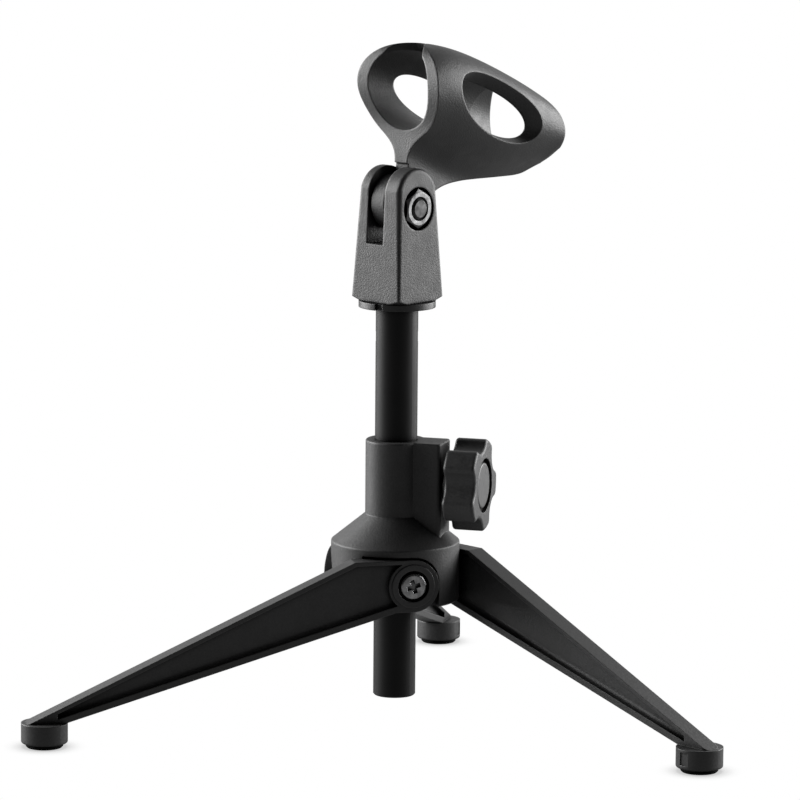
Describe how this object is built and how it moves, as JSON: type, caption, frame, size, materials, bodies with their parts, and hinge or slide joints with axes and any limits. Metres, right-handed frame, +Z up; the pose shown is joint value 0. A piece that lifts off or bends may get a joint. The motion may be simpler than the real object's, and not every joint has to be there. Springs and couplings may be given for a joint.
{
  "type": "desktop microphone stand",
  "caption": "Low tripod stand with folding arms, a knob-clamped height tube and a tilting split clip that grips a handheld microphone.",
  "frame": {"origin": "on the floor plane in the middle of the bounding rectangle of the feet", "axes": "+Z up along the tube, +X along the pivot bolt of the clip toward its nut, microphone goes in from -Y"},
  "size_m": [0.2386, 0.2588, 0.2559],
  "materials": {
    "tube_coat": "satin black powder coat",
    "hub_plastic": "fine spark-eroded grain, black",
    "leg_plastic": "fine spark-eroded grain, black",
    "head_plastic": "fine spark-eroded grain, dark grey black",
    "knob_plastic": "fine grain, black",
    "cap_plastic": "smooth satin, black",
    "pad_rubber": "soft matte",
    "bright_steel": "nickel plated",
    "dark_steel": "zinc plated",
    "insert_brass": "turned",
    "inner_plastic": "smooth, black",
    "dark_ring": "black finish on turned brass"
  },
  "bodies": {
    "base": {"hub": "hub_plastic", "clamp_insert": "insert_brass", "leg_inserts": "insert_brass", "leg_screws": "dark_steel", "leg_washers": "dark_steel"},
    "left_leg": {"leg_left": "leg_plastic", "foot_pad_left": "pad_rubber"},
    "right_leg": {"leg_right": "leg_plastic", "foot_pad_right": "pad_rubber"},
    "back_leg": {"leg_back": "leg_plastic", "foot_pad_back": "pad_rubber"},
    "clamp_slider": {"pressure_pad": "inner_plastic"},
    "knob": {"clamp_knob": "knob_plastic", "knob_cap": "cap_plastic", "clamp_screw": "dark_steel"},
    "mast": {"tube": "tube_coat", "tube_plug": "inner_plastic", "thread_stud": "insert_brass"},
    "ring": {"lock_ring": "dark_ring"},
    "swivel": {"yoke": "head_plastic", "yoke_insert": "insert_brass", "clip_bolt": "dark_steel", "clip_nut": "bright_steel", "clip_washers": "inner_plastic"},
    "clip": {"mic_clip": "head_plastic"}
  },
  "joints": [
    {"name": "left_leg_fold", "type": "hinge", "parent": "base", "child": "left_leg", "pos_m": [-0.01056, -0.00374, 0.0554], "axis": [0.8387, -0.5446, 0], "range_deg": [0, 72]},
    {"name": "right_leg_fold", "type": "hinge", "parent": "base", "child": "right_leg", "pos_m": [-0.02874, 0.02811, 0.0554], "axis": [0.0523, 0.9986, 0], "range_deg": [0, 72]},
    {"name": "back_leg_fold", "type": "hinge", "parent": "base", "child": "back_leg", "pos_m": [-0.04724, -0.00356, 0.0554], "axis": [-0.891, -0.454, 0], "range_deg": [0, 72]},
    {"name": "clamp_travel", "type": "slide", "parent": "base", "child": "clamp_slider", "axis": [0.891, 0.454, 0], "range_m": [0, 0.0016]},
    {"name": "knob_turn", "type": "hinge", "parent": "clamp_slider", "child": "knob", "pos_m": [-0.02885, 0.00694, 0.0914], "axis": [0.891, 0.454, 0], "range_deg": [0, 540]},
    {"name": "height_slide", "type": "slide", "parent": "base", "child": "mast", "axis": [0, 0, 1], "range_m": [-0.05, 0.066]},
    {"name": "ring_turn", "type": "hinge", "parent": "mast", "child": "ring", "pos_m": [-0.02885, 0.00694, 0.1578], "axis": [0, 0, 1], "range_deg": [0, 90]},
    {"name": "head_swivel", "type": "hinge", "parent": "mast", "child": "swivel", "pos_m": [-0.02885, 0.00694, 0.1604], "axis": [0, 0, 1], "range_deg": [-180, 180]},
    {"name": "clip_tilt", "type": "hinge", "parent": "swivel", "child": "clip", "pos_m": [-0.02885, 0.00694, 0.1956], "axis": [1, 0, 0], "range_deg": [-60, 100]}
  ],
  "couplings": [
    {"joint": "clamp_travel", "follows": "knob_turn", "m_per_rad": 0.00015915}
  ]
}
